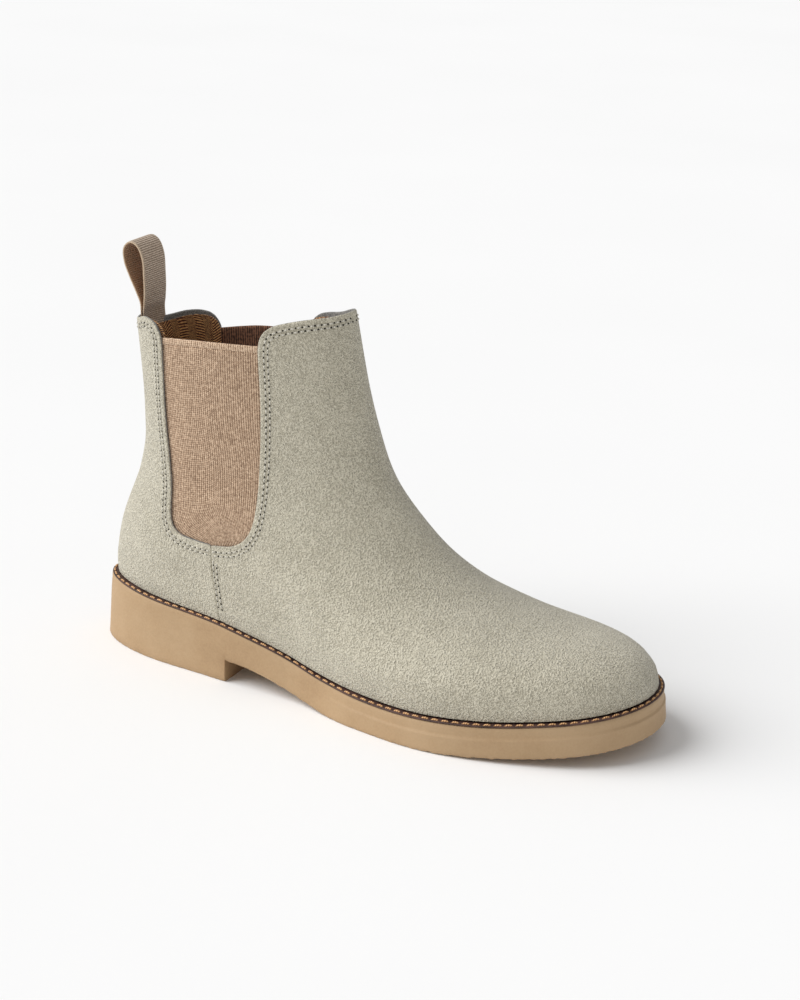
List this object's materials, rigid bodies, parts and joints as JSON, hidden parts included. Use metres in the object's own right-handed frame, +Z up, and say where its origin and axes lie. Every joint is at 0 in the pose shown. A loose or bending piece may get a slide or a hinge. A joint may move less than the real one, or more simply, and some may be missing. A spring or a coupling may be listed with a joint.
{
  "type": "chelsea boot",
  "caption": "Right ankle boot in suede with elastic side panels, a webbing loop at the heel, a stitched welt and a one-piece rubber sole with a low heel.",
  "frame": {"origin": "on the ground under the middle of the sole unit's box", "axes": "+X to the toe, +Y to the inner side of this right boot, +Z up"},
  "size_m": [0.3017, 0.1108, 0.208],
  "materials": {
    "sole_rubber": "moulded, matt",
    "welt_leather": "smooth, waxed",
    "welt_thread": "waxed thread",
    "board": "cellulose board",
    "spring_steel": "rolled strip",
    "cork": "ground cork mix",
    "foam": "latex foam",
    "sock_cloth": "woven",
    "stiffener": "impregnated felt",
    "suede": "suede nap",
    "elastic": "ribbed elastic",
    "lining_cloth": "herringbone weave",
    "webbing": "grosgrain",
    "upper_thread": "thread"
  },
  "bodies": {
    "boot": {"outsole": "sole_rubber", "welt_strip": "welt_leather", "welt_stitching": "welt_thread", "insole_board": "board", "shank": "spring_steel", "bottom_filler": "cork", "heel_pad": "foam", "footbed": "sock_cloth", "heel_counter": "stiffener", "toe_puff": "stiffener", "vamp": "suede", "quarter_lateral": "suede", "quarter_medial": "suede", "gore_lateral": "elastic", "gore_medial": "elastic", "vamp_lining": "lining_cloth", "quarter_lining_lateral": "lining_cloth", "quarter_lining_medial": "lining_cloth", "pull_tab_anchor": "webbing", "collar_stitching_lateral": "upper_thread", "collar_stitching_medial": "upper_thread", "side_seam_stitching_lateral": "upper_thread", "side_seam_stitching_medial": "upper_thread"},
    "pull_loop": {"pull_tab_loop": "webbing"}
  },
  "joints": [
    {"name": "loop_bend", "type": "hinge", "parent": "boot", "child": "pull_loop", "pos_m": [-0.127, 0.00534, 0.1743], "axis": [0, 1, 0], "range_deg": [-50, 25], "stiffness_Nm_per_rad": 0.002}
  ]
}
